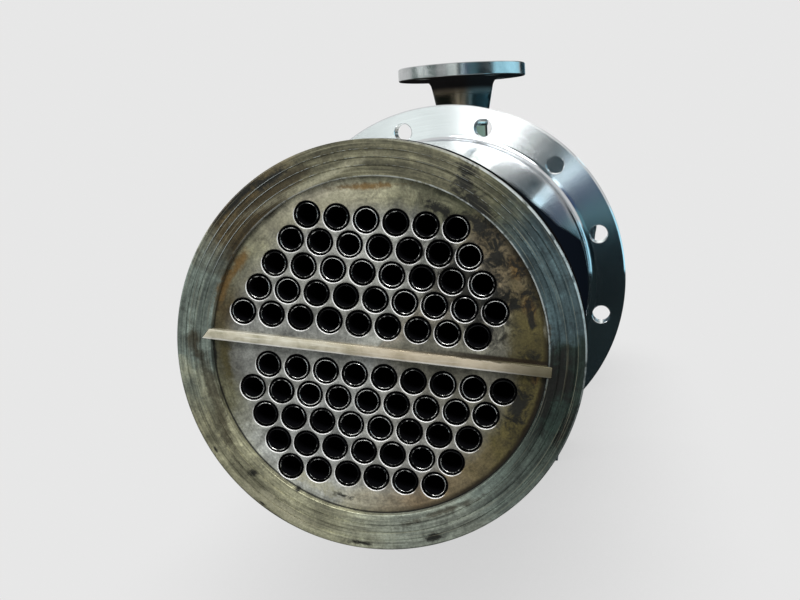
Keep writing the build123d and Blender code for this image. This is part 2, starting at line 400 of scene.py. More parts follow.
class Shader:
    """A node material built step by step around one Principled shader."""

    def __init__(self, name):
        self.material = bpy.data.materials.new(name)
        self.material.use_nodes = True
        self.tree = self.material.node_tree
        self.surface = self.tree.nodes["Principled BSDF"]
        coordinates = self.add("ShaderNodeTexCoord")
        self.place = coordinates.outputs["Object"]
        self.normal = coordinates.outputs["Normal"]

    def add(self, kind, *values, **settings):
        """Add a node with its settings, and feed its first inputs in order."""
        node = self.tree.nodes.new(kind)
        for name, value in settings.items():
            setattr(node, name, value)
        for socket, value in zip(node.inputs, values):
            self.feed(socket, value)
        return node

    def feed(self, socket, value):
        """Link a socket to an output, or set its plain value."""
        if isinstance(value, bpy.types.NodeSocket):
            self.tree.links.new(value, socket)
        else:
            socket.default_value = value

    def maths(self, operation, *values):
        return self.add("ShaderNodeMath", *values, operation=operation).outputs[0]

    def plus(self, first, second):
        return self.maths("ADD", first, second)

    def minus(self, first, second):
        return self.maths("SUBTRACT", first, second)

    def product(self, *values):
        result = values[0]
        for value in values[1:]:
            result = self.maths("MULTIPLY", result, value)
        return result

    def sway(self, noise, amount):
        """A noise carried to both sides of nought."""
        return self.product(self.minus(noise, 0.5), amount)

    def vector(self, operation, *values):
        node = self.add("ShaderNodeVectorMath", *values, operation=operation)
        return node.outputs["Value" if operation in ("LENGTH", "DISTANCE", "DOT_PRODUCT") else "Vector"]

    def pack(self, x, y, z):
        return self.add("ShaderNodeCombineXYZ", x, y, z).outputs[0]

    def axes(self, vector):
        """The X, Y and Z of a vector."""
        return tuple(self.add("ShaderNodeSeparateXYZ", vector).outputs)

    def depth(self, start=0.0):
        """Depth in metres behind a given depth in millimetres."""
        return self.minus(self.axes(self.place)[1], (front_y + start) * MM)

    def noise(self, vector, scale, detail=4.0, roughness=0.55, distortion=0.0):
        node = self.add("ShaderNodeTexNoise", vector)
        node.inputs["Scale"].default_value = scale
        node.inputs["Detail"].default_value = detail
        node.inputs["Roughness"].default_value = roughness
        node.inputs["Distortion"].default_value = distortion
        return node.outputs["Fac"]

    def ramp(self, value, *stops):
        """Colours at places from 0 to 1."""
        node = self.add("ShaderNodeValToRGB", value)
        elements = node.color_ramp.elements
        while len(elements) < len(stops):
            elements.new(0.5)
        for element, (place, colour) in zip(elements, stops):
            element.position = place
            element.color = (*colour, 1.0)
        return node.outputs[0]

    def span(self, value, low, high, to_low=0.0, to_high=1.0):
        """Carry a value from one range to another, held at its ends."""
        values = (value, low, high, to_low, to_high)
        return self.add("ShaderNodeMapRange", *values, interpolation_type="SMOOTHSTEP").outputs[0]

    def mix(self, factor, first, second, blend="MIX"):
        node = self.add("ShaderNodeMix", factor, data_type="RGBA", blend_type=blend)
        for socket, colour in zip((node.inputs[6], node.inputs[7]), (first, second)):
            self.feed(socket, (*colour, 1.0) if isinstance(colour, tuple) else colour)
        return node.outputs[2]

    def mottled(self, colour, noise, low, high):
        """Darken and lighten a colour by a noise."""
        return self.mix(1.0, colour, self.span(noise, 0.3, 0.7, low, high), "MULTIPLY")

    def bump(self, height, strength, distance):
        node = self.add("ShaderNodeBump")
        node.inputs["Strength"].default_value = strength
        node.inputs["Distance"].default_value = distance
        self.feed(node.inputs["Height"], height)
        self.feed(self.surface.inputs["Normal"], node.outputs[0])

    def by_bar(self):
        """Distances along and above the middle of the partition bar, in metres."""
        turn = radians(FIELD_TURN)
        offset = self.vector("SUBTRACT", self.place, at_axis(*FIELD_OFFSET, 0.0) * MM)
        along = self.vector("DOT_PRODUCT", offset, (cos(turn), 0.0, sin(turn)))
        above = self.vector("DOT_PRODUCT", offset, (-sin(turn), 0.0, cos(turn)))
        return along, above

    def take_gloss(self, mask):
        """Take the gloss away where a mask is 1."""
        self.feed(self.surface.inputs["Specular IOR Level"], self.span(mask, 0.0, 1.0, 0.5, 0.0))

    def finish(self, colour, roughness, metallic=1.0, anisotropic=0.0):
        """Feed the surface and return the material; anisotropic gives it turning marks."""
        self.feed(self.surface.inputs["Base Color"], colour)
        self.feed(self.surface.inputs["Roughness"], roughness)
        self.feed(self.surface.inputs["Metallic"], metallic)
        if anisotropic:
            self.surface.inputs["Anisotropic"].default_value = anisotropic
            self.surface.inputs["Anisotropic Rotation"].default_value = 0.25
            tangent = self.add("ShaderNodeTangent", direction_type="RADIAL", axis="Y")
            self.feed(self.surface.inputs["Tangent"], tangent.outputs[0])
        return self.material


class TurnedShader(Shader):
    """A node material that knows its way round the shell's axis."""

    def __init__(self, name):
        super().__init__(name)
        offset = self.vector("SUBTRACT", self.place, (0, 0, axis_z * MM))
        flat = self.vector("MULTIPLY", offset, (1, 0, 1))
        self.radius = self.vector("LENGTH", flat)
        self.direction = self.vector("NORMALIZE", flat)
        x, _, z = self.axes(self.direction)
        self.turn = self.plus(self.maths("DIVIDE", self.maths("ARCTAN2", z, x), 2 * pi), 0.5)

    def lathe_lines(self, across, fineness, wander=1.5):
        """Fine lines across a distance, which change slowly on their way round."""
        slow = self.vector("MULTIPLY", self.direction, (wander, wander, wander))
        lines = self.vector("ADD", slow, self.pack(0, self.product(across, fineness), 0))
        return self.noise(lines, 1.0, 3.0, 0.6)

    def tints(self, turn, tints):
        """Colours round the shell's axis, from clock angles with their colours."""
        return self.ramp(turn, *[(clock_angle / 360 + 0.5, colour) for clock_angle, colour in tints])

    def levels(self, *levels):
        """Strength round the shell's axis, from clock angles with their strengths."""
        return self.tints(self.turn, [(clock_angle, (level, level, level)) for clock_angle, level in levels])


# Colours of the stained steel, and of the painted shade and highlights on it
BLACK = (0.004, 0.004, 0.004)
LIP_SHADOW = (0.006, 0.006, 0.006)
SOOT = (0.012, 0.012, 0.010)
CORNER_SHADE = (0.016, 0.011, 0.006)
BAR_DIRT_AND_SHADE = (0.022, 0.014, 0.007)
DARK_BROWN = (0.035, 0.026, 0.012)
BROWN = (0.075, 0.055, 0.025)
RUST = (0.18, 0.105, 0.032)
OLIVE = (0.085, 0.085, 0.050)
DARK_OLIVE = (0.085, 0.070, 0.025)
PALE_OLIVE = (0.17, 0.165, 0.10)
BEIGE = (0.27, 0.26, 0.17)
CREAM = (0.42, 0.40, 0.28)
PALE_BEIGE = (0.32, 0.315, 0.215)
PALE_GREEN = (0.26, 0.285, 0.235)
DULL_CREAM = (0.34, 0.315, 0.235)
DULL_TAN = (0.150, 0.118, 0.068)
DULL_OLIVE = (0.125, 0.118, 0.074)
DULL_GREEN = (0.075, 0.095, 0.080)
GREEN_GREY = (0.15, 0.18, 0.155)
TEAL = (0.058, 0.090, 0.097)
DARK_GREEN = (0.022, 0.035, 0.028)
TAN = (0.22, 0.165, 0.10)
PALE_STEEL = (0.42, 0.43, 0.40)
FIELD_STEEL = (0.27, 0.275, 0.26)
PALE_EDGE = (0.50, 0.545, 0.535)
BRIGHT_STEEL = (0.86, 0.86, 0.83)
LIP_HIGHLIGHT = (0.95, 0.95, 0.93)

# Tints round the gasket ring and round the recess floor, by clock angle
RING_TINTS = (
    (-180, GREEN_GREY), (-160, BEIGE), (-130, BEIGE), (-105, PALE_BEIGE), (-84, PALE_GREEN),
    (-68, PALE_GREEN), (-54, GREEN_GREY), (-38, DULL_GREEN), (-26, DARK_GREEN), (-1, DARK_GREEN),
    (2, TEAL), (30, TEAL), (46, OLIVE), (60, DULL_OLIVE), (104, DULL_OLIVE), (122, BROWN),
    (140, BROWN), (155, GREEN_GREY), (180, GREEN_GREY),
)
FLOOR_TINTS = (
    (-180, DULL_OLIVE), (-162, PALE_OLIVE), (-140, PALE_STEEL), (-115, PALE_STEEL), (-98, DULL_CREAM),
    (-80, TAN), (-60, DULL_TAN), (-35, DARK_OLIVE), (-5, DARK_OLIVE), (10, DARK_OLIVE),
    (26, DULL_TAN), (40, DULL_TAN), (58, OLIVE), (80, BEIGE), (112, DULL_CREAM), (140, BEIGE),
    (165, BROWN), (180, PALE_OLIVE),
)

# Stains on the front: clock angle, radius, length along the arc, width across it, ragged edge
BLACK_STAINS = (
    (130, 161, 38, 5, 0.5),
    (119, 157, 20, 4, 0.7),
    (60, 157, 9, 8, 0.8),
    (58, 147, 13, 9, 0.8),
    (51, 139, 22, 6, 1.0),
    (46, 127, 22, 7, 1.0),
    (36, 121, 22, 9, 1.3),
    (22, 128, 24, 5, 1.1),
    (62, 121, 14, 5, 1.0),
    (-8, 121, 12, 10, 0.8),
    (-15, 140, 34, 5, 0.6),
    (-9, 149, 18, 10, 0.7),
    (-24, 159, 18, 5, 0.8),
    (223, 148, 5, 3.5, 0.9),
    (210, 160, 4, 1.2, 0.5),
    (238, 135.5, 2.5, 1.5, 0.3),
    (231, 162, 4, 1.0, 0.4),
    (254, 126, 9, 2.5, 1.1),
    (181, 134, 13, 1.2, 0.4),
    (-98, 160, 9, 2, 0.9),
    (-76, 158, 6, 3.5, 0.9),
    (18, 113, 9, 9, 1.2),
    (11, 124, 16, 3.5, 1.0),
    (-8, 138, 26, 3.0, 0.4),
    (7, 136.5, 24, 1.8, 0.5),
    (-24, 120, 22, 9, 1.0),
)
RUST_STAINS = (
    (146, 130, 16, 5, 0.5),
    (156, 133, 16, 4, 0.6),
    (90, 128, 30, 3, 0.6),
    (27, 127, 13, 6, 0.9),
    (14, 125, 12, 5, 1.0),
    (-12, 127, 5, 4, 0.7),
)
BROWN_STAINS = (
    (121, 147, 56, 8, 0.4),
    (124, 138, 30, 4, 0.6),
    (195, 140, 60, 6, 0.5),
    (176.5, 151, 11, 7, 0.5),
    (-70, 140, 40, 3, 0.7),
)
OLIVE_STAINS = (
    (2, 113, 32, 13, 0.5),
    (183, 126, 26, 5, 0.6),
)
CREAM_STAINS = (
    (112, 139, 60, 4, 0.5),
    (108, 121, 46, 7, 0.5),
    (243, 124, 30, 7, 0.5),
    (5, 135, 10, 3, 0.5),
    (236, 156, 40, 6, 0.8),
)
FIELD_SOOT = (33, 86, 50, 36, 0.7)
FIELD_EDGE_SOOT = (24, 99, 40, 15, 0.8)
STAIN_DEPTH = 0.1

# Each kind of stain with its colour and strength, in the order in which they lie on each other
STAIN_LAYERS = (
    (CREAM_STAINS, CREAM, 0.7),
    (OLIVE_STAINS, DARK_OLIVE, 0.8),
    (BROWN_STAINS, DARK_BROWN, 0.7),
    (RUST_STAINS, RUST, 0.9),
    (BLACK_STAINS, SOOT, 0.95),
)


class PlateShader(TurnedShader):
    """Turned steel of the tube plate, with masks and noises that its layers share."""

    def __init__(self):
        super().__init__("stained_plate")
        self.streaks = self.lathe_lines(self.radius, 420.0, 3.0)
        self.scratches = self.lathe_lines(self.radius, 1100.0, 1.2)
        self.clouds = self.noise(self.place, 22.0, 6.0, 0.65, 0.8)
        self.speckle = self.noise(self.place, 110.0, 7.0, 0.72, 0.6)
        self.grain = self.noise(self.place, 520.0, 4.0, 0.65)
        self.below_floor = self.depth(recess_depth)
        self.on_floor = self.span(self.below_floor, -0.0006, -0.0001)
        self.on_ring = self.minus(1.0, self.on_floor)
        reach = self.vector("DISTANCE", self.place, at_axis(*FIELD_OFFSET, recess_depth) * MM)
        self.field = self.span(self.plus(reach, self.sway(self.clouds, 0.03)), 0.102, 0.124, 1.0, 0.0)

    def stain(self, stain, strength):
        """Mask of a stain, long along the arc, with a ragged edge."""
        clock_angle, radius, length, width, ragged = stain
        angle = radians(clock_angle)
        scale = (width * MM, STAIN_DEPTH, length * MM)
        place = at_shell(radius, angle, 0.0) * MM
        node = self.add("ShaderNodeMapping", self.place, place, (0, -angle, 0), scale, vector_type="TEXTURE")
        reach = self.plus(self.vector("LENGTH", node.outputs[0]), self.sway(self.speckle, 4.5 * ragged))
        return self.span(reach, 0.25, 1.25, strength, 0.0)

    def tinted(self):
        """Colour of the ring and of the floor, lighter and darker in patches."""
        wandering = self.plus(self.turn, self.sway(self.clouds, 0.10))
        ring = self.tints(wandering, RING_TINTS)
        ring = self.mottled(ring, self.lathe_lines(self.radius, 140.0, 2.0), 0.75, 1.25)
        ring = self.mottled(ring, self.streaks, 0.65, 1.35)
        floor = self.mottled(self.tints(wandering, FLOOR_TINTS), self.streaks, 0.88, 1.12)
        clean_side = self.levels((-70, 0.85), (-30, 0.4), (40, 0.4), (70, 0.85))
        floor = self.mix(self.product(self.field, clean_side), floor, FIELD_STEEL)
        colour = self.mix(self.on_floor, ring, floor)
        colour = self.mottled(colour, self.clouds, 0.65, 1.35)
        return self.mottled(colour, self.speckle, 0.65, 1.35)

    def stained(self, colour):
        """Lay the stains, the soot among the tubes, the dirt and painted shade along the bar's upper side and
        the fine scratches on the colour.
        """
        for stains, tint, strength in STAIN_LAYERS:
            for stain in stains:
                colour = self.mix(self.stain(stain, strength), colour, tint)
        colour = self.mix(self.product(self.stain(FIELD_SOOT, 0.93), self.field), colour, SOOT)
        colour = self.mix(self.stain(FIELD_EDGE_SOOT, 0.92), colour, SOOT)
        # Dirt and painted shade on the floor along the bar's upper side, towards the right.
        along_bar, above_bar = self.by_bar()
        above = self.product(self.span(above_bar, 0.0, 0.002), self.span(above_bar, 0.0062, 0.0080, 1.0, 0.0))
        bar_dirt_and_shade = self.product(above, self.span(along_bar, 0.03, 0.09, 0.0, 0.95), self.on_floor)
        colour = self.mix(bar_dirt_and_shade, colour, BAR_DIRT_AND_SHADE)
        colour = self.mottled(colour, self.grain, 0.78, 1.22)
        scratched = self.span(self.scratches, 0.58, 0.70, 0.0, 0.35)
        return self.mix(self.product(scratched, self.on_ring), colour, CREAM)

    def shaded_corner(self, colour):
        """Painted shade in the corner of the recess, strongest at the lower right, and a painted dark line of
        shade at its foot.
        """
        corner = self.plus(self.radius, self.sway(self.speckle, 0.006))
        # Painted shade along the corner of the recess.
        dark_patch = self.span(corner, (recess_radius - 5.5) * MM, (recess_radius - 2.2) * MM)
        side = self.levels((-180, 0.0), (-110, 0.1), (-60, 0.9), (-10, 0.95), (4, 0.5), (30, 0.6), (50, 0.0))
        colour = self.mix(self.product(dark_patch, self.on_floor, side), colour, CORNER_SHADE)
        # The seam is a painted dark line of shade at the foot of the recess wall.
        seam = self.span(self.radius, (recess_radius - 1.7) * MM, (recess_radius - 0.9) * MM)
        side = self.levels((-180, 0.9), (-20, 0.9), (10, 0.2), (80, 0.0), (130, 0.0), (170, 0.6), (180, 0.9))
        return self.mix(self.product(seam, self.on_floor, side), colour, SOOT)

    def lit_edges_and_groove_lines(self, colour):
        """Painted highlights on the ring's inner edge, from the right round to the top, and on its rim
        towards the upper right, and pale dashed lines along its grooves.
        """
        patches = self.span(self.speckle, 0.38, 0.54, 0.1, 0.85)
        # Painted highlight on the ring's inner edge.
        inner = self.span(self.radius, (recess_radius + 0.9) * MM, (recess_radius + 1.5) * MM, 1.0, 0.0)
        side = self.levels((-30, 0.0), (-4, 0.3), (8, 0.9), (62, 0.95), (90, 0.5), (128, 0.4), (150, 0.0))
        inner = self.product(inner, side, patches)
        # Painted highlight on the chamfer of the rim.
        chamfer_radius = plate_radius - PLATE_CHAMFER
        rim = self.span(self.radius, (chamfer_radius - 0.2) * MM, chamfer_radius * MM)
        side = self.levels((-70, 0.0), (-20, 0.35), (2, 0.9), (50, 1.0), (68, 0.3), (90, 0.0))
        pale_marks = self.maths("MAXIMUM", inner, self.product(rim, side, patches))
        dashes = self.span(self.lathe_lines(self.radius, 700.0, 42.0), 0.46, 0.56)
        unbroken = self.levels((60, 0.0), (104, 0.0), (124, 1.0), (180, 1.0))
        dashes = self.maths("MAXIMUM", dashes, unbroken)
        side = self.levels((20, 0.0), (46, 0.7), (64, 0.25), (88, 0.35), (104, 0.8), (146, 0.9), (158, 0.0))
        for groove in GROOVE_RADII:
            aside = self.maths("ABSOLUTE", self.minus(self.radius, (groove + GROOVE_HALF_WIDTH) * MM))
            line = self.product(self.span(aside, 0.00012, 0.0003, 1.0, 0.0), dashes, side)
            pale_marks = self.maths("MAXIMUM", pale_marks, line)
        return self.mix(self.product(pale_marks, self.on_ring), colour, PALE_EDGE)

    def with_mouths(self, colour):
        """Finish the material with painted highlights and painted shade on the lips of the tube mouths, and
        painted shade down in them.
        """
        lip = self.span(self.below_floor, 0.00001, 0.00008)
        mouth = self.span(self.below_floor, (MOUTH_ROUNDING - 0.2) * MM, MOUTH_ROUNDING * MM)
        # Painted highlight where a lip faces up and right, painted shade where it faces away.
        facing = self.vector("DOT_PRODUCT", self.normal, (0.64, 0.0, 0.77))
        shaded = self.product(lip, self.span(facing, -0.35, 0.05, 0.95, 0.0))
        colour = self.mix(shaded, colour, LIP_SHADOW)
        patches = self.span(self.noise(self.place, 48.0, 2.0, 0.5), 0.35, 0.5, 0.4, 1.0)
        colour = self.mix(self.product(lip, self.span(facing, 0.0, 0.3), patches), colour, LIP_HIGHLIGHT)
        # Painted shade deep in each mouth.
        colour = self.mix(mouth, colour, BLACK)
        roughness = self.mix(lip, self.span(self.speckle, 0.3, 0.7, 0.55, 0.38), (0.35, 0.35, 0.35))
        roughness = self.mix(mouth, roughness, (0.8, 0.8, 0.8))
        metallic = self.product(self.span(lip, 0.0, 1.0, 0.55, 0.25), self.minus(1.0, mouth))
        self.bump(self.plus(self.product(self.scratches, 0.6), self.product(self.grain, 0.6)), 0.22, 0.0004)
        self.take_gloss(mouth)
        return self.finish(colour, roughness, metallic, 0.2)


def plate_material():
    """Turned steel of the tube plate with its brown, green and black stains, and painted shade and highlights
    at its edges and in its mouths.
    """
    s = PlateShader()
    return s.with_mouths(s.lit_edges_and_groove_lines(s.shaded_corner(s.stained(s.tinted()))))


def partition_material():
    """Pale bar, with dirt and painted shade along its upper side towards the right, and painted shade at its
    right end.
    """
    s = Shader("pale_bar")
    along, up = s.by_bar()
    half_width = PARTITION_THICKNESS / 2
    streaks = s.noise(s.pack(s.product(along, 25.0), s.product(up, 420.0), 0.0), 1.0, 4.0, 0.6)
    clouds = s.noise(s.place, 55.0, 6.0, 0.68)
    colour = s.ramp(clouds, (0.3, BEIGE), (0.48, (0.50, 0.47, 0.36)), (0.7, (0.66, 0.64, 0.54)))
    colour = s.mix(s.span(streaks, 0.5, 0.7, 0.0, 0.7), colour, (0.80, 0.79, 0.70))
    colour = s.mix(s.span(along, -0.06, 0.03, 0.1, 0.6), colour, (0.50, 0.395, 0.275))
    low_edge = s.span(up, -half_width * MM, (2.0 - half_width) * MM, 0.95, 0.0)
    colour = s.mix(s.product(low_edge, s.span(streaks, 0.3, 0.5)), colour, BRIGHT_STEEL)
    # Dirt and painted shade on the bar's top face, stronger towards the right.
    top = s.span(s.plus(up, s.sway(clouds, 0.0035)), (half_width - 1.2) * MM, (half_width - 0.3) * MM)
    colour = s.mix(s.product(top, s.span(along, -0.02, 0.09, 0.25, 1.0)), colour, DARK_BROWN)
    # Painted shade on the right end of the bar, where it enters the ring.
    colour = s.mix(s.span(along, 0.075, 0.134, 0.0, 0.92), colour, (0.105, 0.092, 0.052))
    s.bump(s.noise(s.place, 900.0, 2.0, 0.5), 0.15, 0.0003)
    return s.finish(colour, s.span(clouds, 0.3, 0.7, 0.38, 0.58), 0.55)


def tube_material():
    """Bright worn rim, broken by patches of soot and painted shade, and painted shade on the tube beyond its
    mouth, inside and out.
    """
    s = Shader("tube_steel")
    patches = s.noise(s.place, 30.0, 1.0, 0.5)
    dark_patch = s.noise(s.place, 230.0, 3.0, 0.6)
    # Patches of soot and painted shade on the rim.
    shade_and_soot = s.span(s.plus(s.product(dark_patch, 0.45), s.product(patches, 0.55)), 0.46, 0.55)
    # Painted shade inside the tube and on its outside beyond the rim.
    bore_shade = s.span(s.depth(recess_depth + TUBE_SEAT), 0.25 * MM, 0.4 * MM)
    colour = s.mix(bore_shade, s.mix(shade_and_soot, (0.02, 0.02, 0.02), BRIGHT_STEEL), (0.004, 0.004, 0.005))
    s.take_gloss(bore_shade)
    return s.finish(colour, s.span(bore_shade, 0.0, 1.0, 0.25, 1.0), s.span(bore_shade, 0.0, 1.0, 0.85, 0.0))


def painted_front_shade(s):
    """Mask of the painted shade on the shell behind the tube plate and before the flange."""
    depth = s.depth()
    reach = s.levels((-40, 0.12), (-14, 0.42), (16, 0.42), (30, 0.20), (40, 0.15), (60, 0.12))
    side = s.levels((-180, 0.3), (-90, 0.6), (-60, 0.95), (46, 0.97), (56, 0.6), (62, 0.0),
                    (120, 0.0), (180, 0.3))
    by_plate = s.product(s.span(s.minus(depth, reach), -0.06, 0.0, 1.0, 0.0), side)
    flange_side = s.levels((-20, 0.0), (-8, 0.9), (26, 0.9), (46, 0.0))
    return s.maths("MAXIMUM", by_plate, s.product(s.span(depth, 0.33, 0.41), flange_side))


def polished_material(name, dark, pale, smooth, rough, anisotropic, painted_shade=False):
    """Turned and polished steel of the shell and its flange, perhaps with painted shade behind the tube plate
    and before the flange.
    """
    s = TurnedShader(name)
    lines = s.lathe_lines(s.plus(s.radius, s.axes(s.place)[1]), 700.0)
    clouds = s.noise(s.place, 9.0, 4.0, 0.55)
    colour = s.mix(s.span(lines, 0.3, 0.75, 0.0, 0.18), s.ramp(clouds, (0.3, dark), (0.7, pale)), dark)
    roughness = s.plus(s.span(lines, 0.2, 0.8, smooth, rough), s.span(clouds, 0.3, 0.7, 0.04, 0.0))
    metallic = 1.0
    if painted_shade:
        shade_and_soot = painted_front_shade(s)
        # Painted shade, which also takes the gloss away where it is strongest.
        colour = s.mix(s.span(shade_and_soot, 0.0, 0.75), colour, (0.004, 0.006, 0.010))
        dull = s.span(shade_and_soot, 0.55, 0.95)
        roughness = s.plus(roughness, s.product(dull, 0.2))
        metallic = s.minus(1.0, dull)
        s.take_gloss(dull)
    s.bump(lines, 0.08, 0.0002)
    return s.finish(colour, roughness, metallic, anisotropic)


def nozzle_material():
    """Plain steel with a brown tinge on the hub, a painted teal reflection on its right side, and painted
    shade on the hub just under the flange.
    """
    s = Shader("nozzle_steel")
    x, _, z = s.axes(s.place)
    height = s.maths("ABSOLUTE", s.minus(z, axis_z * MM))
    clouds = s.noise(s.place, 30.0, 4.0, 0.6)
    colour = s.ramp(clouds, (0.35, (0.36, 0.38, 0.38)), (0.65, (0.56, 0.58, 0.58)))
    hub = s.minus(1.0, s.span(height, hub_top * MM, (hub_top + 0.8) * MM))
    colour = s.mix(s.product(hub, 0.85), colour, (0.22, 0.165, 0.09))
    # Painted teal reflection on the right side of the hub.
    teal_reflection = s.product(s.span(x, 0.004, 0.02), s.span(height, neck_top * MM, (neck_top + 8) * MM))
    colour = s.mix(s.product(hub, teal_reflection, 0.9), colour, (0.20, 0.37, 0.43))
    # Painted shade on the hub just under the flange.
    shade_and_soot = s.product(s.span(height, (hub_top - 26) * MM, (hub_top - 10) * MM), hub)
    colour = s.mix(s.product(shade_and_soot, 0.985), colour, (0.006, 0.006, 0.007))
    lines = s.noise(s.vector("MULTIPLY", s.place, (12.0, 12.0, 700.0)), 1.0, 3.0, 0.6)
    s.bump(lines, 0.06, 0.0002)
    s.take_gloss(shade_and_soot)
    return s.finish(colour, s.span(clouds, 0.3, 0.7, 0.16, 0.26), s.span(shade_and_soot, 0.0, 1.0, 1.0, 0.0))


def weld_material():
    """Cleaned steel of the weld beads."""
    s = Shader("weld_steel")
    clouds = s.noise(s.place, 30.0, 4.0, 0.6)
    colour = s.ramp(clouds, (0.3, (0.52, 0.50, 0.46)), (0.6, (0.72, 0.71, 0.68)))
    s.bump(s.noise(s.place, 500.0, 3.0, 0.6), 0.2, 0.0003)
    return s.finish(colour, s.span(clouds, 0.3, 0.7, 0.22, 0.38))


def saddle_material():
    """Rolled steel plate with faint lines."""
    s = Shader("rolled_sheet")
    clouds = s.noise(s.place, 18.0, 5.0, 0.6)
    lines = s.noise(s.vector("MULTIPLY", s.place, (30.0, 600.0, 30.0)), 1.0, 3.0, 0.6)
    colour = s.ramp(clouds, (0.3, (0.42, 0.43, 0.43)), (0.7, (0.60, 0.61, 0.61)))
    s.bump(lines, 0.12, 0.0003)
    return s.finish(colour, s.span(lines, 0.2, 0.8, 0.32, 0.5))


plate_steel = plate_material()
bar_steel = partition_material()
tube_steel = tube_material()
shell_steel = polished_material("polished_shell", (0.58, 0.60, 0.62), (0.70, 0.72, 0.73), 0.09, 0.14, 0.85)
front_steel = polished_material("front_shell", (0.52, 0.54, 0.56), (0.66, 0.68, 0.69), 0.08, 0.13, 0.9, True)
flange_steel = polished_material("turned_flange", (0.68, 0.70, 0.71), (0.80, 0.82, 0.83), 0.16, 0.22, 1.0)
weld_steel = weld_material()
saddle_steel = saddle_material()
nozzle_steel = nozzle_material()


# Tube plate, bar and tubes

def drilled_face(outer_radius, centres, hole_radius, depth):
    """Flat face of the tube plate at a depth, triangulated round its holes."""
    points = []
    edges = []
    rims = [((0.0, 0.0), outer_radius, SHELL_STEPS)]
    rims += [(centre, hole_radius, TUBE_STEPS) for centre in centres]
    for centre, radius, steps in rims:
        base = len(points)
        points += [Vector(point) for point in arc(centre, radius, 0, 360, steps)[:-1]]
        edges += [(base + step, base + (step + 1) % steps) for step in range(steps)]
    flat, _, triangles, _, _, _ = delaunay_2d_cdt(points, edges, [], 1, 1e-6)
    hole_reach = hole_radius * cos(pi / TUBE_STEPS)
    faces = []
    for triangle in triangles:
        middle = sum((flat[index] for index in triangle), Vector((0.0, 0.0))) / len(triangle)
        if all((middle - Vector(centre)).length >= hole_reach for centre in centres):
            faces.append(tuple(triangle))
    return [at_axis(point.x, point.y, depth) for point in flat], faces


def mouth_floor(centre, hole_radius):
    """Flat floor of a tube's mouth, between its side and the bore."""
    depth = recess_depth + MOUTH_DEPTH
    at_bore = at_tube(centre)
    at_mouth = at_tube(mouth_centres[centre])
    rings = [
        [at_bore(hole_radius, angle, depth), at_mouth(MOUTH_RADIUS, angle, depth)]
        for angle in round_angles(TUBE_STEPS)
    ]
    return skinned(rings, closed=False)


def slot_shape():
    """Closed shapes that cut the slots for the partition bar in the gasket ring."""
    inner = recess_radius - SLOT_INSIDE
    outer = recess_radius + PARTITION_LET_IN + PARTITION_CLEARANCE
    half_width = PARTITION_THICKNESS / 2 + PARTITION_CLEARANCE
    depths = (-CUTTER_OVERREACH, recess_depth + SLOT_OVERLAP)
    low_end = BAR_LOW_END_CUT - outer
    high_end = BAR_HIGH_END_CUT - outer
    left = along_bar((-inner, low_end), (-inner, high_end), half_width, *depths)
    right = along_bar((inner, outer), (inner, outer), half_width, *depths)
    return joined([left, right])


def ring_profile():
    """Outline of the gasket ring with its grooves, from the recess to the back face."""
    rounding = RING_INNER_ROUNDING
    profile = [(recess_radius, recess_depth)]
    profile += arc((recess_radius + rounding, rounding), rounding, 180, 270, 4)
    for radius in GROOVE_RADII:
        profile += [
            (radius - GROOVE_HALF_WIDTH, 0.0),
            (radius - GROOVE_HALF_WIDTH / 3, GROOVE_DEPTH),
            (radius + GROOVE_HALF_WIDTH / 3, GROOVE_DEPTH),
            (radius + GROOVE_HALF_WIDTH, 0.0),
        ]
    profile += [
        (plate_radius - PLATE_CHAMFER, 0.0),
        (plate_radius, PLATE_CHAMFER),
        (plate_radius, plate_thickness - PLATE_CHAMFER / 2),
        (plate_radius - PLATE_CHAMFER / 2, plate_thickness),
    ]
    return profile


def make_tube_plate():
    """Gasket ring with its grooves, the drilled floor, every hole and the back face."""
    hole_radius = TUBE_RADIUS + TUBE_CLEARANCE
    mouth = MOUTH_RADIUS + MOUTH_ROUNDING
    mouth_side = arc((mouth, recess_depth + MOUTH_ROUNDING), MOUTH_ROUNDING, 270, 180, 3)
    mouth_side.append((MOUTH_RADIUS, recess_depth + MOUTH_DEPTH))
    bore = [(hole_radius, recess_depth + MOUTH_DEPTH), (hole_radius, plate_thickness)]
    mouths = [mouth_centres[centre] for centre in all_tubes]
    parts = [
        lathe(ring_profile(), SHELL_STEPS, at_shell, closed=False),
        drilled_face(recess_radius, mouths, mouth, recess_depth),
        drilled_face(plate_radius - PLATE_CHAMFER / 2, all_tubes, hole_radius, plate_thickness),
    ]
    for centre in all_tubes:
        parts.append(lathe(mouth_side, TUBE_STEPS, at_tube(mouth_centres[centre]), closed=False))
        parts.append(lathe(bore, TUBE_STEPS, at_tube(centre), closed=False))
        parts.append(mouth_floor(centre, hole_radius))
    piece = make_piece("drilled_tube_plate", joined(parts), 25)
    carve(piece, slot_shape())
    dress(piece, plate_steel, "plate_steel", "tube_plate")


def make_partition():
    """Bar between the passes, with its slanted left end and its worn edges."""
    end = recess_radius + PARTITION_LET_IN
    low_ends = (BAR_LOW_END_CUT - end, end)
    high_ends = (BAR_HIGH_END_CUT - end, end)
    shape = along_bar(low_ends, high_ends, PARTITION_THICKNESS / 2, 0.0, recess_depth)
    piece = make_piece("partition_bar", shape)
    round_edges(piece, BAR_ROUNDING, 3)
    dress(piece, bar_steel, "partition_steel", "pass_partition")


